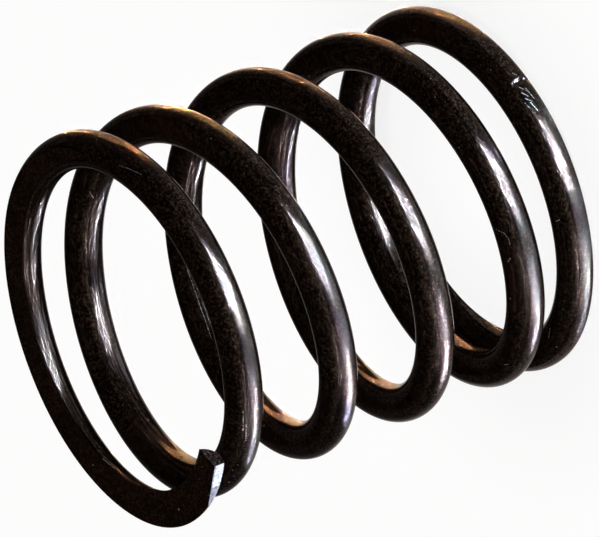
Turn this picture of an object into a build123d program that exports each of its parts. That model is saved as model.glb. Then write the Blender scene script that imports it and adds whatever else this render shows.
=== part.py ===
"""Valve spring: a helical compression spring of round wire with closed and ground ends.

One length of wire is wound right-handed. The turn at each end lies almost against its
neighbour, and both ends are ground flat and square to the axis. The spring stands on its lower
ground end, with its axis along +Z. The turns between the ends open a little wider towards the
top, and the top turn is wound larger and to one side, with its tip curled back in.
"""

from build123d import *
import math
import os

# Wire and winding, in millimetres, turns and degrees
wire_diameter = 3.0
mean_coil_diameter = 27.3
free_length = 34.5
total_turns = 5.33
upper_tip_angle = 28.4

# Closed turns at the ends, and how the pitch opens and grows between them
closed_turns = 0.87
opening_turns = 0.38
pitch_growth = 1.2
tip_clearance = 0.12

# Ground ends
ground_tip_thickness = 1.05

# Upper end turn
swell_turns = 0.85
end_turn_swell = 1.5
end_turn_offset = 0.75
curl_turns = 0.30
tip_curl = 1.97

# Taper that takes the outer corner off the square cut at each wire tip
taper_start = 0.67
taper_length = 3.7

# Spans of the wire's path, each a pair of tangent arcs
spans_per_turn = 6


def eased(past, blend):
    """Distance counted from a start whose rate fades in smoothly over the blend."""
    share = min(max(past / blend, 0.0), 1.0)
    return blend * (share**3 - share**4 / 2) + max(past - blend, 0.0)


def smooth_step(share):
    """Rise from 0 to 1 with no slope at either end."""
    held = min(max(share, 0.0), 1.0)
    return held * held * (3 - 2 * held)


# Climb of the wire. The first turn climbs one wire and the clearance in all. It gets a part of
# that where the winding already opens, so the closed pitch is what is left.
wire_radius = wire_diameter / 2
coil_radius = mean_coil_diameter / 2
tip_height = ground_tip_thickness - wire_radius
wound_height = free_length - 2 * tip_height
open_turns = total_turns - 2 * closed_turns - opening_turns
growth_turns = open_turns - opening_turns
early_turns = eased(1.0 - closed_turns, opening_turns)
first_climb = wire_diameter + tip_clearance + early_turns * (pitch_growth / 2 - wound_height / open_turns)
closed_pitch = first_climb / (1 - early_turns * total_turns / open_turns)
mean_opening = (wound_height - closed_pitch * total_turns) / open_turns
lower_opening = mean_opening - pitch_growth / 2
upper_opening = mean_opening + pitch_growth / 2


def wire_height(turn):
    """Height of the wire's centre at a number of turns from the lower tip."""
    opened = eased(turn - closed_turns, opening_turns)
    grown = eased(turn - (total_turns - growth_turns) / 2, growth_turns)
    closed = eased(turn - (total_turns - closed_turns - opening_turns), opening_turns)
    climb = closed_pitch * turn + lower_opening * opened + pitch_growth * grown
    return tip_height + climb - upper_opening * closed


def wire_point(turn, outward=0.0):
    """Point on the wire's centreline, or moved away from the axis by a distance."""
    left = total_turns - turn
    swelling = 1 - smooth_step(left / swell_turns)
    curling = max(1 - left / curl_turns, 0.0) ** 2
    radius = coil_radius + end_turn_swell * swelling - tip_curl * curling + outward
    angle = math.radians(upper_tip_angle - 360 * left)
    across = radius * math.cos(angle) + end_turn_offset * swelling
    return Vector(across, radius * math.sin(angle), wire_height(turn))


def wire_direction(turn):
    """Direction of the wire towards its upper tip."""
    step = 0.001
    return (wire_point(turn + step) - wire_point(turn - step)).normalized()


def arc_pair(start_turn, end_turn):
    """Two arcs that meet smoothly and keep the wire's direction at both ends of a span."""
    start, end = wire_point(start_turn), wire_point(end_turn)
    leaving, arriving = wire_direction(start_turn), wire_direction(end_turn)
    chord, both = end - start, leaving + arriving
    along = chord.dot(both)
    bend = 4 - both.dot(both)
    reach = (math.sqrt(along**2 + bend * chord.dot(chord)) - along) / bend
    first_corner = start + leaving * reach
    last_corner = end - arriving * reach
    middle = (first_corner + last_corner) / 2
    return [TangentArc(start, middle, tangent=leaving),
            TangentArc(middle, end, tangent=last_corner - first_corner)]


def wound_wire():
    """The whole wire as it is wound, before its ends are cut and ground."""
    spans = math.ceil(total_turns * spans_per_turn)
    arcs = []
    for span in range(spans):
        arcs += arc_pair(total_turns * span / spans, total_turns * (span + 1) / spans)
    path = Wire([edge for arc in arcs for edge in arc.edges()])
    section = Plane(path @ 0, z_dir=path % 0) * Circle(wire_radius)
    return sweep(section, path=path, clean=False)


def tip_cutter(tip_turn, inward_turn):
    """Block that tapers a wire tip on its outer side, clear of the turn that lies next to it."""
    along = (wire_point(tip_turn) - wire_point(tip_turn + 0.001 * inward_turn)).normalized()
    away = Vector(0, 0, -inward_turn)
    frame = Plane(wire_point(tip_turn), x_dir=along, z_dir=away - along * away.dot(along))
    taper_turns = inward_turn * taper_length / (math.pi * mean_coil_diameter)
    foot = frame.to_local_coords(wire_point(tip_turn + taper_turns, wire_radius))
    start = math.copysign(taper_start, foot.Y)
    side = math.copysign(2 * wire_diameter, foot.Y)
    beyond = Vector(foot.X * 1.5, start + (foot.Y - start) * 1.5)
    outline = Polyline((0, start), (beyond.X, beyond.Y), (beyond.X, side), (wire_diameter, side),
                       (wire_diameter, start), close=True)
    depth = wire_radius + tip_clearance / 2
    block = extrude(make_face(outline), amount=depth + wire_diameter)
    return frame * Pos(0, 0, -depth) * block


wire = wound_wire()
wire -= tip_cutter(0.0, 1)
wire -= tip_cutter(total_turns, -1)
wire = split(wire, bisect_by=Plane.XY, keep=Keep.TOP)
wire = split(wire, bisect_by=Plane.XY.offset(free_length), keep=Keep.BOTTOM)

# The origin is under the middle of the spring's outline
outline_centre = wire.bounding_box().center()
valve_spring = Pos(-outline_centre.X, -outline_centre.Y, 0) * wire

os.makedirs("parts", exist_ok=True)
export_step(valve_spring, "parts/valve_spring.step")
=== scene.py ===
"""Looks of a valve spring: dark oil-tempered wire with ground ends, in a plain pale studio.

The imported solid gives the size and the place. A finer mesh of the same winding stands for it,
with the tapered tips, the ground flats, and the nicks, flecks and scratches of a used spring.
"""

import logging
import math
from dataclasses import dataclass
from enum import Enum

import bmesh
import bpy
from mathutils import Matrix, Vector

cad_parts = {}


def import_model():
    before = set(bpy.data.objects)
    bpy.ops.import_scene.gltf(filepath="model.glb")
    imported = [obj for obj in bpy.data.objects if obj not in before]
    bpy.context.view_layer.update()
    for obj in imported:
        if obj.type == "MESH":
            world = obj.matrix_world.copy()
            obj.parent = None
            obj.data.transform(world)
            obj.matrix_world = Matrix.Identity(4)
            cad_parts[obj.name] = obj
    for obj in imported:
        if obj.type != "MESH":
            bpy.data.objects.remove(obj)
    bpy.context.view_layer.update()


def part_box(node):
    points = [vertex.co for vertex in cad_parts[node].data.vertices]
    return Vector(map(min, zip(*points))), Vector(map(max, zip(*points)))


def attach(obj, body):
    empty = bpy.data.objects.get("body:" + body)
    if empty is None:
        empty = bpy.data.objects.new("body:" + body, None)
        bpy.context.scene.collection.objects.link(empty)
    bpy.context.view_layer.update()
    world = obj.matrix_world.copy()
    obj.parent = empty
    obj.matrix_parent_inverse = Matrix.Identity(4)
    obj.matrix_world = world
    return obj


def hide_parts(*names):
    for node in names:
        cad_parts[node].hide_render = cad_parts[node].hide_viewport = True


LOG = logging.getLogger("valve_spring_scene")
NODE = "valve_spring"
BODY = "root"

Colour = tuple[float, float, float]
Socket = bpy.types.NodeSocket
MILLIMETRE = 0.001
FULL_TURN = 2 * math.pi

# Part of a turn over which the wire's direction is measured
TURN_STEP = 0.001

# Names of the values that the mesh carries for its materials
WINDING_PLACE = "winding_place"
CREASE_DISTANCE = "crease_distance"


# The winding


class End(Enum):
    """The two ends of the wire, with the way that leads inward along it."""

    LOWER = 1
    UPPER = -1


class Surface(Enum):
    """The kinds of surface on the spring, numbered as their material slots."""

    WIRE = 0
    GROUND = 1
    SHEARED = 2
    TAPER = 3


def eased(past: float, blend: float) -> float:
    """Return the distance counted from a start whose rate fades in over the blend."""
    share = min(max(past / blend, 0.0), 1.0)
    return blend * (share**3 - share**4 / 2) + max(past - blend, 0.0)


def smooth_step(share: float) -> float:
    """Return a rise from 0 to 1 with no slope at either end."""
    held = min(max(share, 0.0), 1.0)
    return held * held * (3 - 2 * held)


@dataclass(frozen=True)
class WindingSizes:
    """Sizes of the wound wire, in metres, turns and degrees."""

    free_length: float
    wire_diameter: float = 0.0030
    mean_coil_diameter: float = 0.0273
    total_turns: float = 5.33
    upper_tip_angle: float = 28.4
    closed_turns: float = 0.87
    opening_turns: float = 0.38
    pitch_growth: float = 0.0012
    tip_clearance: float = 0.00012
    ground_tip_thickness: float = 0.00105
    swell_turns: float = 0.85
    end_turn_swell: float = 0.0015
    end_turn_offset: float = 0.00075
    curl_turns: float = 0.30
    tip_curl: float = 0.00197
    taper_start: float = 0.00067
    taper_length: float = 0.0037

    @property
    def wire_radius(self) -> float:
        """Return half the wire's diameter."""
        return self.wire_diameter / 2

    @property
    def coil_radius(self) -> float:
        """Return the radius of the wire's centreline."""
        return self.mean_coil_diameter / 2

    @property
    def turn_length(self) -> float:
        """Return the length of wire in one turn."""
        return math.pi * self.mean_coil_diameter


def wire_place(sizes: WindingSizes, turn: float, angle: float) -> Vector:
    """Return a place in millimetres along and around the wire, from turns and radians."""
    return Vector((turn * sizes.turn_length, angle * sizes.wire_radius, 0)) / MILLIMETRE


class Winding:
    """The wire's centreline, in its own frame with the coil axis along +Z."""

    def __init__(self, sizes: WindingSizes) -> None:
        """Work out how fast the wire climbs.

        Args:
            sizes: Sizes of the wound wire.
        """
        self.sizes = sizes
        self.tip_height = sizes.ground_tip_thickness - sizes.wire_radius
        wound_height = sizes.free_length - 2 * self.tip_height
        open_turns = sizes.total_turns - 2 * sizes.closed_turns - sizes.opening_turns
        self.growth_turns = open_turns - sizes.opening_turns
        early = eased(1.0 - sizes.closed_turns, sizes.opening_turns)
        climb = sizes.wire_diameter + sizes.tip_clearance
        climb += early * (sizes.pitch_growth / 2 - wound_height / open_turns)
        self.closed_pitch = climb / (1 - early * sizes.total_turns / open_turns)
        mean_opening = (wound_height - self.closed_pitch * sizes.total_turns) / open_turns
        self.lower_opening = mean_opening - sizes.pitch_growth / 2
        self.upper_opening = mean_opening + sizes.pitch_growth / 2

    def height(self, turn: float) -> float:
        """Return the height of the wire's centre.

        Args:
            turn: Turns from the lower tip.

        Returns:
            The height, in metres.
        """
        sizes = self.sizes
        opened = eased(turn - sizes.closed_turns, sizes.opening_turns)
        grown = eased(turn - (sizes.total_turns - self.growth_turns) / 2, self.growth_turns)
        closing_start = sizes.total_turns - sizes.closed_turns - sizes.opening_turns
        closed = eased(turn - closing_start, sizes.opening_turns)
        climb = self.closed_pitch * turn + self.lower_opening * opened + sizes.pitch_growth * grown
        return self.tip_height + climb - self.upper_opening * closed

    def point(self, turn: float, outward: float = 0.0) -> Vector:
        """Return a point on the centreline, or moved away from the axis.

        Args:
            turn: Turns from the lower tip.
            outward: Distance away from the axis, in metres.

        Returns:
            The point, in metres.
        """
        sizes = self.sizes
        left = sizes.total_turns - turn
        swelling = 1 - smooth_step(left / sizes.swell_turns)
        curling = max(1 - left / sizes.curl_turns, 0.0) ** 2
        radius = sizes.coil_radius + sizes.end_turn_swell * swelling
        radius = radius - sizes.tip_curl * curling + outward
        angle = math.radians(sizes.upper_tip_angle - 360 * left)
        across = radius * math.cos(angle) + sizes.end_turn_offset * swelling
        return Vector((across, radius * math.sin(angle), self.height(turn)))

    def direction(self, turn: float) -> Vector:
        """Return the wire's direction towards its upper tip."""
        return (self.point(turn + TURN_STEP) - self.point(turn - TURN_STEP)).normalized()

    def tip_turn(self, end: End) -> float:
        """Return the turn at which an end's tip stands."""
        return 0.0 if end is End.LOWER else self.sizes.total_turns

    def inward(self, end: End) -> Vector:
        """Return the direction that leads from a tip into the wire."""
        tip_turn = self.tip_turn(end)
        return (self.point(tip_turn + TURN_STEP * end.value) - self.point(tip_turn)).normalized()

    def section_axes(self, turn: float) -> tuple[Vector, Vector]:
        """Return the axes of the wire's section.

        Args:
            turn: Turns from the lower tip.

        Returns:
            The outward and the upward axis.
        """
        along = self.direction(turn)
        upward = (Vector((0, 0, 1)) - along * along.z).normalized()
        return along.cross(upward), upward


# The wire's mesh


@dataclass(frozen=True)
class Dent:
    """A dent in the wire, placed by turn and by angle from straight down, with sizes in metres."""

    turn: float
    angle: float
    along: float
    around: float
    depth: float
    slant: float = 0.0

    def depth_at(self, sizes: WindingSizes, turn: float, angle: float) -> float:
        """Return how far the surface is pushed in at a place on the wire.

        Args:
            sizes: Sizes of the wound wire.
            turn: Turns from the lower tip.
            angle: Angle around the section, in radians from straight down.

        Returns:
            The depth, in metres, which is 0 outside the dent.
        """
        across = (angle - math.radians(self.angle)) * sizes.wire_radius
        forward = (turn - self.turn) * sizes.turn_length + self.slant * across
        share = 1 - abs(forward) / self.along - (across / self.around) ** 2
        return self.depth * max(share, 0.0)


DENTS = (
    Dent(0.5708, 98.0, 0.00022, 0.00055, 0.00010, 0.27),
    Dent(0.5722, 62.0, 0.00022, 0.00030, 0.00014, -0.3),
    Dent(0.5792, 86.0, 0.00018, 0.00030, 0.00003, 0.8),
    Dent(1.4560, 148.0, 0.00016, 0.00080, 0.00004, 0.6),
    Dent(4.3690, 122.0, 0.00060, 0.00014, 0.00004, 0.0),
)


@dataclass(frozen=True)
class MeshDensity:
    """Number of rings along the wire and of points around it, and how its faces are told apart."""

    rings_per_turn: int = 132
    flat_steps: int = 8
    side_steps: int = 36
    dent_rings: int = 26
    least_flat: float = math.radians(4.0)
    sharp_angle: float = math.radians(35.0)
    level_share: float = 0.9999
    plane_tolerance: float = 1e-7


class WireMesh:
    """Builds the wire as one closed tube whose points line up with the ground flats."""

    def __init__(self, winding: Winding, density: MeshDensity, dents: tuple[Dent, ...]) -> None:
        """Keep the winding, the density and the dents.

        Args:
            winding: Centreline of the wire.
            density: Number of rings and of points around the section.
            dents: Dents in the wire's surface.
        """
        self.winding = winding
        self.density = density
        self.dents = dents
        self.bm = bmesh.new()
        self.place = self.bm.loops.layers.float_vector.new(WINDING_PLACE)
        self.crease = self.bm.verts.layers.float.new(CREASE_DISTANCE)

    def flat_reach(self, turn: float, end: End) -> float:
        """Return half the angle of the section that an end's grinding takes off.

        Args:
            turn: Turns from the lower tip.
            end: The end that is ground.

        Returns:
            The angle, in radians, which is 0 where the grinding doesn't reach.
        """
        sizes = self.winding.sizes
        _, upward = self.winding.section_axes(turn)
        depth = self.winding.height(turn)
        if end is End.UPPER:
            depth = sizes.free_length - depth
        share = depth / (sizes.wire_radius * upward.z)
        return math.acos(min(max(share, -1.0), 1.0))

    def section_angles(self, turn: float) -> list[float]:
        """Return the angles around the section at which the mesh has points.

        Args:
            turn: Turns from the lower tip.

        Returns:
            The angles, in radians from straight down, in rising order.
        """
        density = self.density
        low = max(self.flat_reach(turn, End.LOWER), density.least_flat)
        high = max(self.flat_reach(turn, End.UPPER), density.least_flat)
        side = math.pi - high - low
        stretches = [(-low, 2 * low, density.flat_steps), (low, side, density.side_steps),
                     (math.pi - high, 2 * high, density.flat_steps),
                     (math.pi + high, side, density.side_steps)]
        return [start + span * step / steps
                for start, span, steps in stretches for step in range(steps)]

    def section_point(self, turn: float, angle: float) -> Vector:
        """Return a point of the wire's surface, on a ground flat where one cuts it.

        Args:
            turn: Turns from the lower tip.
            angle: Angle around the section, in radians from straight down.

        Returns:
            The point, in metres.
        """
        sizes = self.winding.sizes
        centre = self.winding.point(turn)
        outward, upward = self.winding.section_axes(turn)
        radius = sizes.wire_radius
        radius -= sum(dent.depth_at(sizes, turn, angle) for dent in self.dents)
        rise = -radius * math.cos(angle)
        lowest = -centre.z / upward.z
        highest = (sizes.free_length - centre.z) / upward.z
        rise = min(max(rise, lowest), highest)
        return centre + upward * rise + outward * (radius * math.sin(angle))

    def crease_distance(self, turn: float, angle: float) -> float:
        """Return the distance around the section to the nearest ground edge.

        Args:
            turn: Turns from the lower tip.
            angle: Angle around the section, in radians from straight down.

        Returns:
            The distance, in millimetres.
        """
        nearest = math.pi
        for end, middle in ((End.LOWER, 0.0), (End.UPPER, math.pi)):
            reach = self.flat_reach(turn, end)
            if reach > 0:
                turned = abs((angle - middle + math.pi) % FULL_TURN - math.pi)
                nearest = min(nearest, abs(turned - reach))
        return nearest * self.winding.sizes.wire_radius / MILLIMETRE

    def ring_turns(self) -> list[float]:
        """Work out where the wire gets a ring, closer together at the dents.

        Returns:
            The turns of the rings, in rising order.
        """
        sizes, density = self.winding.sizes, self.density
        count = math.ceil(sizes.total_turns * density.rings_per_turn)
        turns = {sizes.total_turns * ring / count for ring in range(count + 1)}
        for dent in self.dents:
            half = (dent.along + abs(dent.slant) * dent.around) / sizes.turn_length
            turns |= {dent.turn + half * (2 * step / density.dent_rings - 1)
                      for step in range(density.dent_rings + 1)}
        return sorted(turns)

    def build_tube(self) -> None:
        """Add the rings, the quads between them and the square end faces."""
        turns = self.ring_turns()
        angles = [self.section_angles(turn) for turn in turns]
        rings = []
        for turn, around in zip(turns, angles):
            ring = [self.bm.verts.new(self.section_point(turn, angle)) for angle in around]
            for vert, angle in zip(ring, around):
                vert[self.crease] = self.crease_distance(turn, angle)
            rings.append(ring)
        steps = len(rings[0])
        for row in range(len(rings) - 1):
            for step in range(steps):
                self.add_quad(rings, turns, angles, row, step)
        for ring in (rings[0], list(reversed(rings[-1]))):
            cap = self.bm.faces.new(ring)
            cap.material_index = Surface.SHEARED.value
        self.bm.normal_update()

    def add_quad(self, rings: list[list[bmesh.types.BMVert]], turns: list[float],
                 angles: list[list[float]], row: int, step: int) -> None:
        """Add one quad and write its place on the wire into its corners.

        Args:
            rings: The points of each ring.
            turns: The turn of each ring.
            angles: The angles around each ring.
            row: Number of the quad's first ring.
            step: Number of the quad's first point on that ring.
        """
        sizes = self.winding.sizes
        after = (step + 1) % len(rings[row])
        wrap = FULL_TURN if after == 0 else 0.0
        corners = ((row, step, 0.0), (row, after, wrap), (row + 1, after, wrap),
                   (row + 1, step, 0.0))
        face = self.bm.faces.new([rings[ring][point] for ring, point, _ in corners])
        face.smooth = True
        for loop, (ring, point, added) in zip(face.loops, corners):
            loop[self.place] = wire_place(sizes, turns[ring], angles[ring][point] + added)

    def taper_plane(self, end: End) -> tuple[Vector, Vector]:
        """Return a point and the outward normal of the taper on a tip's outer side.

        Args:
            end: The end of the wire.

        Returns:
            The point and the normal.
        """
        sizes, winding = self.winding.sizes, self.winding
        tip_turn = winding.tip_turn(end)
        tip = winding.point(tip_turn)
        along = -winding.inward(end)
        away = Vector((0, 0, -end.value))
        away = (away - along * away.dot(along)).normalized()
        side = away.cross(along)
        foot_turn = tip_turn + end.value * sizes.taper_length / sizes.turn_length
        foot = winding.point(foot_turn, sizes.wire_radius) - tip
        start = math.copysign(sizes.taper_start, foot.dot(side))
        reach = along * foot.dot(along) + side * (foot.dot(side) - start)
        normal = away.cross(reach).normalized()
        if normal.dot(along) < 0:
            normal.negate()
        return tip + side * start, normal

    def cut_tip(self, end: End) -> None:
        """Cut a tip's taper and close the cut with a face.

        Args:
            end: The end of the wire.
        """
        sizes = self.winding.sizes
        tip_turn = self.winding.tip_turn(end)
        limit = 2 * sizes.taper_length / MILLIMETRE
        tip_along = tip_turn * sizes.turn_length / MILLIMETRE
        tip = self.winding.point(tip_turn)
        near = []
        for face in self.bm.faces:
            if face.material_index == Surface.SHEARED.value:
                close = (face.calc_center_median() - tip).length < sizes.wire_diameter
            else:
                close = abs(face.loops[0][self.place].x - tip_along) < limit
            if close:
                near.append(face)
        point, normal = self.taper_plane(end)
        geometry: set = set(near)
        for face in near:
            geometry.update(face.edges)
            geometry.update(face.verts)
        bmesh.ops.bisect_plane(self.bm, geom=list(geometry), plane_co=point, plane_no=normal,
                               clear_outer=True)
        open_edges = [edge for edge in self.bm.edges if len(edge.link_faces) == 1]
        made = bmesh.ops.contextual_create(self.bm, geom=open_edges)
        inward = self.winding.inward(end)
        ground = 0.0 if end is End.LOWER else sizes.free_length
        for face in made["faces"]:
            face.material_index = Surface.TAPER.value
            face.smooth = False
            for loop in face.loops:
                past = (loop.vert.co - tip).dot(inward)
                loop[self.place] = Vector((past, abs(loop.vert.co.z - ground), 0)) / MILLIMETRE
        self.bm.normal_update()

    def mark_ground(self) -> None:
        """Give the two ground flats their own finish."""
        density, free_length = self.density, self.winding.sizes.free_length
        for face in self.bm.faces:
            height = face.calc_center_median().z
            on_plane = min(abs(height), abs(height - free_length)) < density.plane_tolerance
            if abs(face.normal.z) > density.level_share and on_plane:
                face.material_index = Surface.GROUND.value

    def finish(self, name: str) -> bpy.types.Mesh:
        """Mark the sharp edges and return the mesh.

        Args:
            name: Name of the mesh.

        Returns:
            The mesh, with its place on the wire and its distance to a ground edge as attributes.
        """
        for edge in self.bm.edges:
            if len(edge.link_faces) == 2:
                first, second = (face.material_index for face in edge.link_faces)
                bend = edge.calc_face_angle(0.0)
                edge.smooth = first == second and bend < self.density.sharp_angle
        mesh = bpy.data.meshes.new(name)
        self.bm.to_mesh(mesh)
        self.bm.free()
        return mesh


# Node tools


class Graph:
    """Adds nodes to one node tree and links them."""

    def __init__(self, tree: bpy.types.NodeTree) -> None:
        """Keep the node tree."""
        self.tree = tree

    def node(self, kind: str, *values: object, **settings: object) -> bpy.types.Node:
        """Add a node, set its properties and feed its inputs.

        Args:
            kind: Type name of the node.
            values: What its inputs get, in order; None leaves an input as it is.
            settings: Properties of the node.

        Returns:
            The node.
        """
        made = self.tree.nodes.new(kind)
        for key, setting in settings.items():
            setattr(made, key, setting)
        for target, value in zip(made.inputs, values):
            self.feed(target, value)
        return made

    def feed(self, target: Socket, value: object) -> None:
        """Link a socket to an input, or set the input's own value.

        Args:
            target: The input.
            value: A socket, a plain value, or None for the value that is there.
        """
        if isinstance(value, bpy.types.NodeSocket):
            self.tree.links.new(value, target)
        elif value is not None:
            target.default_value = value

    def math(self, operation: str, *values: object, clamp: bool = False) -> Socket:
        """Return the result of a Math node, whose inputs are given in order."""
        return self.node("ShaderNodeMath", *values, operation=operation, use_clamp=clamp).outputs[0]

    def vector(self, operation: str, *values: object) -> bpy.types.Node:
        """Return a Vector Math node, whose inputs are given in order."""
        return self.node("ShaderNodeVectorMath", *values, operation=operation)

    def noise(self, place: Socket, scale: object, detail: float = 2.0) -> Socket:
        """Return the height of a noise texture at a place."""
        return self.node("ShaderNodeTexNoise", place, None, scale, detail).outputs["Fac"]

    def cells(self, place: Socket, scale: object) -> tuple[Socket, Socket]:
        """Return the distance to the nearest cell's middle, and that cell's own chance.

        Args:
            place: Where the texture of scattered cells is read.
            scale: Number of cells to a unit of place.

        Returns:
            The distance, in cells, and the chance, from 0 to 1.
        """
        made = self.node("ShaderNodeTexVoronoi", place, None, scale)
        chance = self.node("ShaderNodeSeparateColor", made.outputs["Color"]).outputs[0]
        return made.outputs["Distance"], chance

    def between(self, value: Socket, low: object, high: object) -> Socket:
        """Return a smooth rise from 0 at the low value to 1 at the high value."""
        rise = self.node("ShaderNodeMapRange", value, low, high, interpolation_type="SMOOTHSTEP")
        return rise.outputs[0]

    def mix(self, share: Socket, start: object, finish: object) -> Socket:
        """Return a value between a start and a finish."""
        mixed = self.node("ShaderNodeMix", share, None, start, finish, data_type="FLOAT")
        return mixed.outputs[0]

    def blend(self, share: Socket, start: object, finish: object) -> Socket:
        """Return a colour between a start and a finish."""
        ends = [(*given, 1.0) if isinstance(given, tuple) else given for given in (start, finish)]
        return self.node("ShaderNodeMix", share, *[None] * 5, *ends, data_type="RGBA").outputs[2]

    def attribute(self, name: str) -> bpy.types.Node:
        """Return a node that reads a value of the mesh."""
        return self.node("ShaderNodeAttribute", attribute_name=name)

    def group(self, tree: bpy.types.NodeTree, **values: object) -> bpy.types.Node:
        """Place a node group and feed its inputs.

        Args:
            tree: The group's own tree.
            values: Input values, with underscores for the spaces in their names.

        Returns:
            The group node.
        """
        made = self.node("ShaderNodeGroup", node_tree=tree)
        for key, value in values.items():
            self.feed(made.inputs[key.replace("_", " ").capitalize()], value)
        return made


class Effect:
    """A node group in the making, with named inputs and outputs."""

    def __init__(self, name: str, inputs: dict[str, object], outputs: list[str]) -> None:
        """Make the group and its sockets.

        Args:
            name: Name of the group.
            inputs: Default of each input; None stands for a vector.
            outputs: Names of the outputs, which are all values.
        """
        self.tree = bpy.data.node_groups.new(name, "ShaderNodeTree")
        for key, value in inputs.items():
            kind = "NodeSocketVector" if value is None else "NodeSocketFloat"
            made = self.tree.interface.new_socket(key, in_out="INPUT", socket_type=kind)
            if value is not None:
                made.default_value = value
        for key in outputs:
            self.tree.interface.new_socket(key, in_out="OUTPUT", socket_type="NodeSocketFloat")
        self.graph = Graph(self.tree)
        self.inputs = self.graph.node("NodeGroupInput").outputs
        self.outputs = self.graph.node("NodeGroupOutput").inputs


def speckle_effect() -> bpy.types.NodeTree:
    """Build the fine mottling of heat-treated wire, with larger patches in it.

    Returns:
        The group, whose sizes are in millimetres.
    """
    swells_per_patch = 0.62
    grain_contrast = 3.0
    patch_gain, patch_least = 1.2, 0.4
    patch_low, patch_high = 0.36, 0.66
    effect = Effect("Speckle", {"Place": None, "Grain": 0.15, "Patch": 1.2},
                    ["Speckle", "Patches"])
    graph = effect.graph
    place = effect.inputs["Place"]
    _, chance = graph.cells(place, graph.math("DIVIDE", 1.0, effect.inputs["Grain"]))
    coarse = graph.noise(place, graph.math("DIVIDE", swells_per_patch, effect.inputs["Patch"]))
    patchy = graph.math("MULTIPLY_ADD", coarse, patch_gain, patch_least)
    grains = graph.math("POWER", chance, grain_contrast)
    graph.feed(effect.outputs["Speckle"], graph.math("MULTIPLY", grains, patchy, clamp=True))
    graph.feed(effect.outputs["Patches"], graph.between(coarse, patch_low, patch_high))
    return effect.tree


def fleck_effect() -> bpy.types.NodeTree:
    """Build scattered small pits or flecks, round and a little ragged.

    Returns:
        The group, whose sizes are in millimetres.
    """
    wander_scale, wander_share = 14.0, 0.5
    core_share = 0.35
    effect = Effect("Flecks", {"Place": None, "Spacing": 1.0, "Share": 0.3, "Size": 0.1},
                    ["Flecks"])
    graph = effect.graph
    place, spacing, size = (effect.inputs[key] for key in ("Place", "Spacing", "Size"))
    distance, chance = graph.cells(place, graph.math("DIVIDE", 1.0, spacing))
    ragged = graph.math("MULTIPLY", graph.noise(place, wander_scale, 1.0), wander_share)
    reach = graph.math("MULTIPLY", distance, spacing)
    reach = graph.math("SUBTRACT", reach, graph.math("MULTIPLY", ragged, size))
    spot = graph.between(reach, size, graph.math("MULTIPLY", size, core_share))
    kept = graph.math("LESS_THAN", chance, effect.inputs["Share"])
    graph.feed(effect.outputs["Flecks"], graph.math("MULTIPLY", spot, kept))
    return effect.tree


def stroke_effect() -> bpy.types.NodeTree:
    """Build one scratch: a band of even width between two places.

    Returns:
        The group, whose sizes are in millimetres.
    """
    least_square = 1e-6
    core_share = 0.4
    effect = Effect("Stroke", {"Place": None, "Start": None, "Finish": None, "Width": 0.1},
                    ["Stroke"])
    graph = effect.graph
    start = effect.inputs["Start"]
    past = graph.vector("SUBTRACT", effect.inputs["Place"], start).outputs[0]
    reach = graph.vector("SUBTRACT", effect.inputs["Finish"], start).outputs[0]
    along = graph.vector("DOT_PRODUCT", past, reach).outputs["Value"]
    whole = graph.vector("DOT_PRODUCT", reach, reach).outputs["Value"]
    share = graph.math("DIVIDE", along, graph.math("MAXIMUM", whole, least_square), clamp=True)
    nearest = graph.vector("SCALE", reach, None, None, share).outputs[0]
    away = graph.vector("DISTANCE", past, nearest).outputs["Value"]
    half = graph.math("MULTIPLY", effect.inputs["Width"], 0.5)
    core = graph.math("MULTIPLY", half, core_share)
    graph.feed(effect.outputs["Stroke"], graph.between(away, half, core))
    return effect.tree


@dataclass(frozen=True)
class Stroke:
    """One scratch, from place to place in turns and degrees, with its width in millimetres."""

    start: tuple[float, float]
    finish: tuple[float, float]
    width: float


BRIGHT_STROKES = (
    Stroke((0.5722, 112.0), (0.5744, 82.0), 0.13),
    Stroke((0.5728, 104.0), (0.5738, 92.0), 0.21),
    Stroke((0.5715, 72.0), (0.5730, 60.0), 0.12),
    Stroke((0.5800, 90.0), (0.5775, 84.0), 0.09),
    Stroke((0.5660, 100.0), (0.5600, 84.0), 0.08),
    Stroke((0.5610, 104.0), (0.5560, 92.0), 0.08),
    Stroke((0.5630, 84.0), (0.5520, 78.0), 0.08),
    Stroke((0.5550, 104.0), (0.5500, 88.0), 0.09),
    Stroke((0.5500, 96.0), (0.5420, 90.0), 0.09),
    Stroke((0.5520, 112.0), (0.5440, 106.0), 0.07),
    Stroke((1.4610, 176.0), (1.4570, 150.0), 0.07),
    Stroke((1.4570, 150.0), (1.4510, 140.0), 0.07),
    Stroke((1.4510, 140.0), (1.4460, 141.0), 0.06),
    Stroke((1.4290, 164.0), (1.4330, 151.0), 0.08),
    Stroke((1.2980, 159.0), (1.3060, 143.0), 0.08),
    Stroke((0.3090, 173.0), (0.3210, 184.0), 0.06),
    Stroke((0.4470, 168.0), (0.4490, 153.0), 0.07),
    Stroke((2.9740, 233.0), (2.9980, 242.0), 0.07),
    Stroke((2.9980, 242.0), (3.0300, 246.0), 0.06),
    Stroke((3.0300, 246.0), (3.0500, 243.0), 0.06),
    Stroke((4.3900, 127.0), (4.3690, 125.0), 0.08),
    Stroke((4.3760, 118.0), (4.3570, 114.0), 0.07),
    Stroke((3.8480, 226.0), (3.8550, 242.0), 0.09),
    Stroke((4.6200, 128.0), (4.6450, 150.0), 0.06),
    Stroke((5.1150, 264.0), (5.1320, 270.0), 0.08),
    Stroke((2.4300, 47.0), (2.3850, 44.0), 0.05),
)

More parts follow.
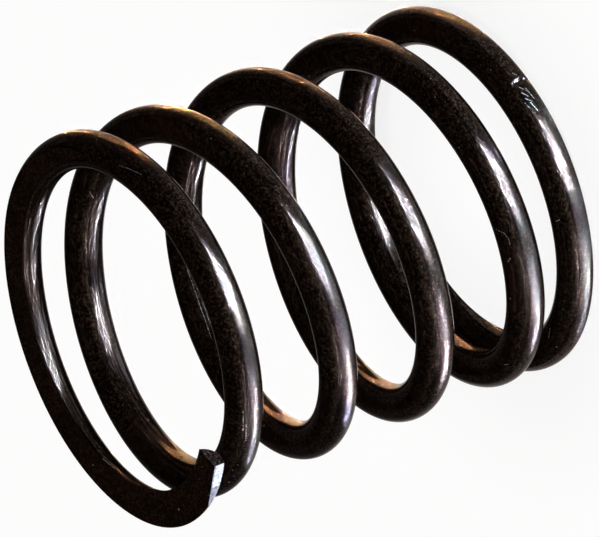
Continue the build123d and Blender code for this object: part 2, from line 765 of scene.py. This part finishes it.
# White specks, each by its place in turns and degrees and its width in millimetres
SPOTS = (
    ((3.179, 217.0), 0.16), ((3.175, 166.0), 0.12), ((4.853, 245.0), 0.12), ((4.591, 45.0), 0.12),
    ((4.581, 107.0), 0.12), ((2.949, 185.0), 0.11), ((3.586, 137.0), 0.13), ((3.711, 242.0), 0.12),
    ((3.631, 128.0), 0.10), ((1.541, 166.0), 0.12), ((1.588, 129.0), 0.10), ((1.588, 158.0), 0.10),
    ((4.685, 116.0), 0.11), ((0.698, 172.0), 0.10), ((0.599, 133.0), 0.10), ((0.594, 136.0), 0.11),
    ((4.307, 119.0), 0.16), ((4.295, 120.0), 0.20), ((4.325, 120.0), 0.12), ((4.316, 130.0), 0.14),
    ((2.361, 73.0), 0.12), ((4.221, 214.0), 0.12), ((1.305, 129.0), 0.10),
    ((5.237, 174.0), 0.24), ((5.297, 197.0), 0.16), ((5.289, 170.0), 0.12), ((5.266, 246.0), 0.12),
    ((5.313, 208.0), 0.12), ((5.295, 137.0), 0.14), ((5.286, 149.0), 0.12), ((5.248, 179.0), 0.10),
)


def marks_effect(sizes: WindingSizes) -> bpy.types.NodeTree:
    """Build all the scratches and white specks that the wear has left on the wire.

    Args:
        sizes: Sizes of the wound wire.

    Returns:
        The group, which reads places in millimetres along and around the wire.
    """
    wander_scale, wander, noise_middle = 9.0, 0.06, 0.5
    spot_core = 0.4
    worn_off, kept = 0.38, 0.60
    effect = Effect("Marks", {"Winding": None, "Place": None}, ["Marks"])
    graph = effect.graph
    stroke_tree = stroke_effect()
    ragged = graph.node("ShaderNodeTexNoise", effect.inputs["Place"], None, wander_scale)
    pushed = graph.vector("SUBTRACT", ragged.outputs["Color"], (noise_middle,) * 3).outputs[0]
    pushed = graph.vector("MULTIPLY", pushed, (wander, wander, 0.0)).outputs[0]
    place = graph.vector("ADD", effect.inputs["Winding"], pushed).outputs[0]
    total = None
    for stroke in BRIGHT_STROKES:
        start, finish = (wire_place(sizes, turn, math.radians(angle))
                         for turn, angle in (stroke.start, stroke.finish))
        mark = graph.group(stroke_tree, place=place, start=start, finish=finish,
                           width=stroke.width).outputs[0]
        total = mark if total is None else graph.math("MAXIMUM", total, mark)
    for (turn, angle), width in SPOTS:
        middle = wire_place(sizes, turn, math.radians(angle))
        away = graph.vector("DISTANCE", place, middle).outputs["Value"]
        spot = graph.between(away, width / 2, width / 2 * spot_core)
        total = graph.math("MAXIMUM", total, spot)
    broken = graph.between(graph.noise(effect.inputs["Place"], wander_scale), worn_off, kept)
    graph.feed(effect.outputs["Marks"], graph.math("MULTIPLY", total, broken))
    return effect.tree


def crease_effect() -> bpy.types.NodeTree:
    """Build a painted shade line along the sharp edge that the grinding leaves, and the wear beside
    it.

    Returns:
        The group, which reads the distance to that edge in millimetres.
    """
    wander_scale, wander_share = 2.2, 1.4
    line_core, worn_reach, worn_core = 0.45, 1.1, 0.5
    effect = Effect("Crease shade line and wear", {"Distance": 1.0, "Place": None, "Reach": 0.12},
                    ["Line", "Worn"])
    graph = effect.graph
    distance, reach = effect.inputs["Distance"], effect.inputs["Reach"]
    # Painted shade: a dark line within the reach of the ground edge
    line = graph.between(distance, reach, graph.math("MULTIPLY", reach, line_core))
    graph.feed(effect.outputs["Line"], line)
    wander = graph.math("MULTIPLY", graph.noise(effect.inputs["Place"], wander_scale), reach)
    ragged = graph.math("ADD", distance, graph.math("MULTIPLY", wander, wander_share))
    worn = graph.between(ragged, graph.math("MULTIPLY", reach, worn_reach),
                         graph.math("MULTIPLY", reach, worn_core))
    graph.feed(effect.outputs["Worn"], worn)
    return effect.tree


@dataclass(frozen=True)
class Effects:
    """The node groups that the finishes share."""

    speckle: bpy.types.NodeTree
    flecks: bpy.types.NodeTree
    marks: bpy.types.NodeTree
    crease: bpy.types.NodeTree

    @classmethod
    def build(cls, sizes: WindingSizes) -> "Effects":
        """Build each group once, for a wire of the given sizes."""
        return cls(speckle_effect(), fleck_effect(), marks_effect(sizes), crease_effect())


# Finishes

# Near-black of painted shade, used in the pits and along the ground edges
PAINTED_SHADE_BLACK: Colour = (0.004, 0.002, 0.001)


@dataclass(frozen=True)
class SteelFinish:
    """A dark steel surface: its colours, gloss and grain, with sizes in millimetres."""

    name: str
    dark: Colour
    light: Colour
    fleck_colour: Colour
    metallic: float
    roughness: float
    grain: float
    patch: float
    grain_height: float
    fleck_spacing: float
    fleck_share: float
    fleck_size: float
    pit_share: float
    pit_size: float
    crease_reach: float
    edge_tint: Colour
    roughness_spread: float = 0.08
    patch_roughness: float = 0.6
    specular: float = 0.5
    pit_spacing: float = 0.6
    # Painted shade in the pits: its colour, and how far the pits are blended towards it
    pit_shade_colour: Colour = PAINTED_SHADE_BLACK
    pit_shade_strength: float = 0.8
    mark_roughness: float = 0.45
    mark_metallic: float = 0.2
    crease_shade_line: Colour = PAINTED_SHADE_BLACK
    crease_worn: Colour = (0.3, 0.28, 0.28)
    worn_share: float = 0.0
    fades_from: float = 0.0

    def build(self, effects: Effects) -> bpy.types.Material:
        """Build the material.

        Args:
            effects: The node groups that the finishes share.

        Returns:
            The material.
        """
        material = bpy.data.materials.new(self.name)
        material.use_nodes = True
        graph = Graph(material.node_tree)
        shader = material.node_tree.nodes["Principled BSDF"]
        metres = graph.node("ShaderNodeTexCoord").outputs["Object"]
        place = graph.vector("MULTIPLY", metres, (1 / MILLIMETRE,) * 3).outputs[0]
        winding = graph.attribute(WINDING_PLACE).outputs["Vector"]
        distance = graph.attribute(CREASE_DISTANCE).outputs["Fac"]

        speckle = graph.group(effects.speckle, place=place, grain=self.grain, patch=self.patch)
        flecks = graph.group(effects.flecks, place=place, spacing=self.fleck_spacing,
                             share=self.fleck_share, size=self.fleck_size).outputs[0]
        pits = graph.group(effects.flecks, place=place, spacing=self.pit_spacing,
                           share=self.pit_share, size=self.pit_size).outputs[0]
        marks = graph.group(effects.marks, winding=winding, place=place).outputs[0]
        crease = graph.group(effects.crease, distance=distance, place=place,
                             reach=self.crease_reach)
        mottled = speckle.outputs["Speckle"]
        if self.fades_from > 0:
            pits = self.add_faded_border(graph, winding, place, pits)

        bright = graph.math("MAXIMUM", flecks, marks)
        colour = graph.blend(mottled, self.dark, self.light)
        # Painted shade: a dark line along each ground edge
        colour = graph.blend(crease.outputs["Line"], colour, self.crease_shade_line)
        if self.worn_share > 0:
            worn = graph.math("MULTIPLY", crease.outputs["Worn"], self.worn_share)
            colour = graph.blend(worn, colour, self.crease_worn)
        colour = graph.blend(bright, colour, self.fleck_colour)
        # Painted shade: the pits, together with a tapered cut's dark border, are blended towards
        # near-black
        shade = graph.math("MULTIPLY", pits, self.pit_shade_strength)
        graph.feed(shader.inputs["Base Color"], graph.blend(shade, colour, self.pit_shade_colour))

        spread = self.roughness_spread
        rough = graph.mix(mottled, self.roughness - spread, self.roughness + spread)
        dull = graph.math("ADD", rough, spread * self.patch_roughness)
        rough = graph.mix(speckle.outputs["Patches"], rough, dull)
        graph.feed(shader.inputs["Roughness"], graph.mix(bright, rough, self.mark_roughness))
        metallic = graph.mix(bright, self.metallic, self.mark_metallic)
        # The painted pit shade is made fully metallic, so that it keeps no diffuse colour
        graph.feed(shader.inputs["Metallic"], graph.mix(pits, metallic, 1.0))
        shader.inputs["Specular IOR Level"].default_value = self.specular
        shader.inputs["Specular Tint"].default_value = (*self.edge_tint, 1)

        bump = graph.node("ShaderNodeBump")
        bump.inputs["Distance"].default_value = MILLIMETRE
        graph.feed(bump.inputs["Height"], graph.math("MULTIPLY", mottled, self.grain_height))
        graph.feed(shader.inputs["Normal"], bump.outputs["Normal"])
        return material

    def add_faded_border(self, graph: Graph, winding: Socket, place: Socket,
                         pits: Socket) -> Socket:
        """Return the pits with a dark, ragged border: darker from a set distance along the cut from
        the tip, and close to the ground flat.

        Args:
            graph: The material's nodes.
            winding: Place on the cut, along the wire from the tip and up from the ground flat.
            place: Place in millimetres.
            pits: The pits on the cut.

        Returns:
            The share of the surface that is dark.
        """
        wander_scale, wander = 5.0, 0.5
        fade = 0.25
        edge_wander, edge_clear, edge_dark = 0.5, 0.06, -0.02
        inward, up, _ = graph.node("ShaderNodeSeparateXYZ", winding).outputs
        ragged = graph.math("MULTIPLY", graph.noise(place, wander_scale), wander)
        past = graph.math("ADD", inward, ragged)
        far = graph.between(past, self.fades_from, self.fades_from + fade)
        above = graph.math("SUBTRACT", up, graph.math("MULTIPLY", ragged, edge_wander))
        low = graph.between(above, edge_clear, edge_dark)
        return graph.math("MAXIMUM", pits, graph.math("MAXIMUM", far, low))


FINISHES = {
    Surface.WIRE: SteelFinish(
        name="oil_tempered_wire", dark=(0.003, 0.002, 0.001), light=(0.125, 0.086, 0.066),
        fleck_colour=(0.45, 0.43, 0.45), metallic=0.78, roughness=0.125, roughness_spread=0.02,
        grain=0.12, patch=1.6, grain_height=0.0005, fleck_spacing=1.2, fleck_share=0.14,
        fleck_size=0.06, pit_share=0.40, pit_size=0.07, crease_reach=0.16,
        edge_tint=(0.42, 0.38, 0.37)),
    Surface.GROUND: SteelFinish(
        name="ground_end", dark=(0.002, 0.001, 0.0005), light=(0.058, 0.033, 0.019),
        fleck_colour=(0.70, 0.68, 0.70), metallic=0.30, roughness=0.50, grain=0.12, patch=2.0,
        grain_height=0.006, fleck_spacing=1.0, fleck_share=0.10, fleck_size=0.06,
        pit_share=0.30, pit_size=0.08, crease_reach=0.10, crease_worn=(0.30, 0.25, 0.22),
        worn_share=0.15, edge_tint=(0.30, 0.26, 0.24), specular=0.12),
    Surface.SHEARED: SteelFinish(
        name="sheared_end", dark=(0.006, 0.003, 0.002), light=(0.16, 0.12, 0.11),
        fleck_colour=(0.70, 0.68, 0.72), metallic=0.4, roughness=0.45, grain=0.14, patch=0.8,
        grain_height=0.02, fleck_spacing=0.8, fleck_share=0.15, fleck_size=0.08,
        pit_share=0.35, pit_size=0.10, crease_reach=0.05, crease_shade_line=(0.02, 0.015, 0.014),
        worn_share=0.3, edge_tint=(0.5, 0.5, 0.5), specular=0.15),
    Surface.TAPER: SteelFinish(
        name="tapered_tip", dark=(0.02, 0.017, 0.018), light=(0.27, 0.22, 0.235),
        fleck_colour=(0.60, 0.58, 0.66), metallic=0.3, roughness=0.50, grain=0.22, patch=0.9,
        grain_height=0.01, fleck_spacing=0.9, fleck_share=0.15, fleck_size=0.08,
        pit_spacing=0.9, pit_share=0.30, pit_size=0.20, crease_reach=0.10,
        crease_shade_line=(0.03, 0.025, 0.025), edge_tint=(0.8, 0.8, 0.8), specular=0.35,
        fades_from=2.4),
}


# The spring


class ValveSpring:
    """The whole spring: one wound and ground wire with its finishes."""

    def __init__(self, sizes: WindingSizes) -> None:
        """Keep the sizes, with the foot of the coil's axis at the origin until it is built."""
        self.sizes = sizes
        self.axis_foot = Vector()

    def build(self, scene: bpy.types.Scene) -> bpy.types.Object:
        """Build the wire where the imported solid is, and dress it.

        Args:
            scene: The scene that gets the object.

        Returns:
            The object.
        """
        wire = WireMesh(Winding(self.sizes), MeshDensity(), DENTS)
        wire.build_tube()
        for end in End:
            wire.cut_tip(end)
        wire.mark_ground()
        mesh = wire.finish("spring_wire")
        effects = Effects.build(self.sizes)
        for surface in Surface:
            mesh.materials.append(FINISHES[surface].build(effects))
        self.axis_foot = self.centred_on_node(mesh)
        mesh.transform(Matrix.Translation(self.axis_foot))
        spring = bpy.data.objects.new("spring_wire", mesh)
        scene.collection.objects.link(spring)
        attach(spring, BODY)
        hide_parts(NODE)
        LOG.info("spring_wire: %d faces", len(mesh.polygons))
        return spring

    def centred_on_node(self, mesh: bpy.types.Mesh) -> Vector:
        """Work out the move that puts the mesh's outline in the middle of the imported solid's.

        Args:
            mesh: The mesh, with the coil's axis through its origin.

        Returns:
            The move, in metres.
        """
        low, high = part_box(NODE)
        places = [vertex.co for vertex in mesh.vertices]
        middle = [(min(p[axis] for p in places) + max(p[axis] for p in places)) / 2
                  for axis in range(2)]
        return Vector(((low.x + high.x) / 2 - middle[0], (low.y + high.y) / 2 - middle[1], low.z))


# The studio


@dataclass(frozen=True)
class PhotoView:
    """Where the photograph was taken from, in metres and degrees."""

    elevation: float = 28.741
    roll: float = -110.977
    distance: float = 1.365
    frame_width: float = 0.04648
    aim_right: float = 0.0000167
    aim_up: float = -0.001076
    sensor_width: float = 36.0

    def axes(self) -> tuple[Vector, Vector, Vector]:
        """Work out the picture's axes from the elevation and the roll.

        Returns:
            The picture's right and up, and the way back to the camera.
        """
        elevation, roll = math.radians(self.elevation), math.radians(self.roll)
        toward = Vector((0, math.cos(elevation), math.sin(elevation)))
        level = Vector((-1, 0, 0))
        steep = Vector((0, -math.sin(elevation), math.cos(elevation)))
        right = level * math.cos(roll) + steep * math.sin(roll)
        up = steep * math.cos(roll) - level * math.sin(roll)
        return right, up, toward


def aimed(azimuth: float, elevation: float) -> Vector:
    """Turn an azimuth and an elevation into a direction.

    Args:
        azimuth: Angle around +Z from +X, in degrees.
        elevation: Angle up from level, in degrees.

    Returns:
        The direction.
    """
    turned, raised = math.radians(azimuth), math.radians(elevation)
    return Vector((math.cos(raised) * math.cos(turned), math.cos(raised) * math.sin(turned),
                   math.sin(raised)))


class Reach(Enum):
    """What a lamp lights: the spring's gloss, the spring's own colour, or the floor."""

    GLOSS = "gloss"
    COLOUR = "colour"
    FLOOR = "floor"


@dataclass(frozen=True)
class Lamp:
    """A soft box, placed by its direction from the spring, with its long side towards another."""

    name: str
    azimuth: float
    elevation: float
    long_azimuth: float
    long_elevation: float
    distance: float
    length: float
    width: float
    radiance: float
    colour: Colour
    reach: Reach = Reach.GLOSS


LAMPS = (
    Lamp("key", 86.5, -20.5, 60.0, -55.0, 0.60, 0.55, 0.43, 54.0, (0.78, 0.97, 1.28)),
    Lamp("glow", 84.0, -16.0, 60.0, -55.0, 0.62, 0.90, 0.80, 3.8, (0.80, 0.94, 1.22)),
    Lamp("side", 4.2, -32.1, 33.7, -25.7, 0.60, 0.72, 0.25, 44.0, (0.78, 0.96, 1.26)),
    Lamp("flank", 20.0, 2.0, 60.0, 12.0, 0.60, 0.55, 0.50, 4.0, (0.92, 0.93, 1.06)),
    Lamp("under", 51.0, -74.0, 38.0, -48.0, 0.60, 0.72, 0.50, 2.8, (0.80, 0.94, 1.26)),
    Lamp("rim", 228.0, -36.0, 256.0, -36.0, 0.60, 0.66, 0.36, 11.0, (1.0, 0.56, 0.27)),
    Lamp("border", 272.0, -55.0, 182.0, 0.0, 0.60, 0.50, 0.40, 1.2, (1.0, 0.80, 0.66)),
    Lamp("soft", 90.0, 50.0, 0.0, 0.0, 1.00, 1.4, 1.2, 0.8, (1.0, 0.92, 0.84), Reach.COLOUR),
    Lamp("overhead", 90.0, 90.0, 0.0, 0.0, 0.80, 0.50, 0.50, 5.6, (1.0, 1.0, 1.0), Reach.FLOOR),
)


@dataclass(frozen=True)
class FloorSizes:
    """The pale floor, which curves up into a low wall far away, in metres."""

    flat_radius: float = 2.0
    cove_radius: float = 0.4
    wall_height: float = 0.3
    segments: int = 96
    cove_steps: int = 10


def backdrop_share(graph: Graph, gloss_share: Socket) -> Socket:
    """Add nodes that tell how much of the white backdrop a ray sees.

    Args:
        graph: Nodes of the floor's material or of the world.
        gloss_share: Share of the backdrop that glossy rays see.

    Returns:
        The share, which is 1 for camera and transmission rays.
    """
    paths = graph.node("ShaderNodeLightPath").outputs
    gloss = graph.math("MULTIPLY", paths["Is Glossy Ray"], gloss_share)
    seen = graph.math("ADD", paths["Is Camera Ray"], paths["Is Transmission Ray"])
    return graph.math("ADD", seen, gloss, clamp=True)


@dataclass(frozen=True)
class FloorFinish:
    """The floor's white, which the metal's gloss sees near the spring and hardly further out: a
    painted pool of light that glows only in reflections.
    """

    colour: Colour = (0.2, 0.2, 0.2)
    roughness: float = 0.9
    glow: float = 0.84
    near_radius: float = 0.030
    far_radius: float = 0.085
    near_gloss: float = 0.6
    far_gloss: float = 0.05

    def build(self) -> bpy.types.Material:
        """Build the material.

        Returns:
            The material.
        """
        material = bpy.data.materials.new("pale_floor")
        material.use_nodes = True
        graph = Graph(material.node_tree)
        shader = material.node_tree.nodes["Principled BSDF"]
        middle = graph.node("ShaderNodeTexCoord").outputs["Object"]
        away = graph.vector("LENGTH", middle).outputs["Value"]
        # Painted light: a pool of glow for glossy rays, strong within near_radius of the floor's
        # middle and faint beyond far_radius
        reflected_glow_pool = graph.mix(graph.between(away, self.far_radius, self.near_radius),
                         self.far_gloss, self.near_gloss)
        seen = graph.math("MULTIPLY", backdrop_share(graph, reflected_glow_pool), self.glow)
        shader.inputs["Base Color"].default_value = (*self.colour, 1)
        shader.inputs["Roughness"].default_value = self.roughness
        shader.inputs["Specular IOR Level"].default_value = 0.0
        shader.inputs["Emission Color"].default_value = (1, 1, 1, 1)
        graph.feed(shader.inputs["Emission Strength"], seen)
        return material


@dataclass(frozen=True)
class Surroundings:
    """The world: warm light on one low side and dark on the other, with a white backdrop."""

    lit_side: tuple[float, float, float] = (0.36, 0.45, -0.82)
    dark_from: float = -0.62
    lit_from: float = 0.60
    dark: Colour = (0.016, 0.007, 0.004)
    lit: Colour = (0.70, 0.60, 0.55)
    backdrop: Colour = (0.885, 0.88, 0.875)
    backdrop_gloss: float = 0.3

    def build(self) -> bpy.types.World:
        """Build the world.

        Returns:
            The world.
        """
        world = bpy.data.worlds.new("world")
        world.use_nodes = True
        graph = Graph(world.node_tree)
        direction = graph.node("ShaderNodeTexCoord").outputs["Generated"]
        towards = graph.vector("DOT_PRODUCT", direction, self.lit_side).outputs["Value"]
        share = graph.between(towards, self.dark_from, self.lit_from)
        colour = graph.blend(share, self.dark, self.lit)
        seen = backdrop_share(graph, graph.math("MULTIPLY", share, self.backdrop_gloss))
        background = world.node_tree.nodes["Background"]
        graph.feed(background.inputs["Color"], graph.blend(seen, colour, self.backdrop))
        return world


class Studio:
    """Camera, floor, world and lamps around the spring."""

    def __init__(self, view: PhotoView, middle: Vector, spring: bpy.types.Object) -> None:
        """Keep what the studio is built around.

        Args:
            view: Where the photograph was taken from.
            middle: Middle of the spring.
            spring: The spring.
        """
        self.view = view
        self.middle = middle
        self.spring = spring

    def build(self, scene: bpy.types.Scene) -> None:
        """Add the camera, the floor, the world and the lamps.

        Args:
            scene: The scene that gets them.
        """
        self.add_camera(scene)
        scene.world = Surroundings().build()
        floor = self.add_floor(scene)
        LOG.info("floor: %d faces", len(floor.data.polygons))
        for lamp in LAMPS:
            self.add_lamp(scene, lamp, floor)
            LOG.info("lamp %s at radiance %.1f", lamp.name, lamp.radiance)

    def add_camera(self, scene: bpy.types.Scene) -> None:
        """Add the camera at the photograph's viewing angle.

        Args:
            scene: The scene that gets the camera.
        """
        view = self.view
        right, up, toward = view.axes()
        aim = self.middle + right * view.aim_right + up * view.aim_up
        data = bpy.data.cameras.new("camera")
        data.sensor_width = view.sensor_width
        data.lens = view.sensor_width * view.distance / view.frame_width
        camera = bpy.data.objects.new("camera", data)
        turned = Matrix((right, up, toward)).transposed().to_4x4()
        camera.matrix_world = Matrix.Translation(aim + toward * view.distance) @ turned
        scene.collection.objects.link(camera)
        scene.camera = camera

    def add_floor(self, scene: bpy.types.Scene) -> bpy.types.Object:
        """Add the pale floor that the spring stands on.

        Args:
            scene: The scene that gets the floor.

        Returns:
            The floor.
        """
        sizes = FloorSizes()
        profile = [(sizes.flat_radius, 0.0)]
        for step in range(1, sizes.cove_steps + 1):
            turned = math.pi / 2 * step / sizes.cove_steps
            profile.append((sizes.flat_radius + sizes.cove_radius * math.sin(turned),
                            sizes.cove_radius * (1 - math.cos(turned))))
        profile.append((profile[-1][0], profile[-1][1] + sizes.wall_height))
        bm = bmesh.new()
        circles = [[bm.verts.new(aimed(360 * step / sizes.segments, 0.0) * radius
                                 + Vector((0, 0, height))) for step in range(sizes.segments)]
                   for radius, height in profile]
        bm.faces.new(circles[0])
        for inner, outer in zip(circles, circles[1:]):
            for step in range(sizes.segments):
                after = (step + 1) % sizes.segments
                face = bm.faces.new((inner[step], outer[step], outer[after], inner[after]))
                face.smooth = True
        mesh = bpy.data.meshes.new("floor")
        bm.to_mesh(mesh)
        bm.free()
        mesh.materials.append(FloorFinish().build())
        floor = bpy.data.objects.new("floor", mesh)
        scene.collection.objects.link(floor)
        floor.visible_shadow = False
        return floor

    def add_lamp(self, scene: bpy.types.Scene, lamp: Lamp, floor: bpy.types.Object) -> None:
        """Add one lamp that faces the spring.

        Args:
            scene: The scene that gets the lamp.
            lamp: Place, size and light of the lamp.
            floor: The floor, for a lamp that lights only that.
        """
        toward = aimed(lamp.azimuth, lamp.elevation)
        lengthwise = aimed(lamp.long_azimuth, lamp.long_elevation)
        lengthwise = (lengthwise - toward * lengthwise.dot(toward)).normalized()
        data = bpy.data.lights.new(lamp.name, "AREA")
        data.shape = "RECTANGLE"
        data.size, data.size_y = lamp.length, lamp.width
        data.energy = lamp.radiance * math.pi * lamp.length * lamp.width
        data.color = lamp.colour
        data.cycles.use_multiple_importance_sampling = False
        light = bpy.data.objects.new(lamp.name, data)
        turned = Matrix((lengthwise, toward.cross(lengthwise), toward)).transposed().to_4x4()
        light.matrix_world = Matrix.Translation(self.middle + toward * lamp.distance) @ turned
        light.visible_camera = False
        scene.collection.objects.link(light)
        lit = bpy.data.collections.new(f"lit_by_{lamp.name}")
        lit.objects.link(floor if lamp.reach is Reach.FLOOR else self.spring)
        light.light_linking.receiver_collection = lit
        light.visible_diffuse = lamp.reach is not Reach.GLOSS
        light.visible_glossy = lamp.reach is not Reach.COLOUR


def main() -> None:
    """Build the spring and the studio in order."""
    logging.basicConfig(level=logging.INFO, format="%(message)s")
    scene = bpy.context.scene
    scene.view_settings.view_transform = "Standard"
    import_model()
    low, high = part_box(NODE)
    sizes = WindingSizes(free_length=high.z - low.z)
    maker = ValveSpring(sizes)
    spring = maker.build(scene)
    Studio(PhotoView(), maker.axis_foot + Vector((0, 0, sizes.free_length / 2)),
           spring).build(scene)


if __name__ == "__main__":
    main()
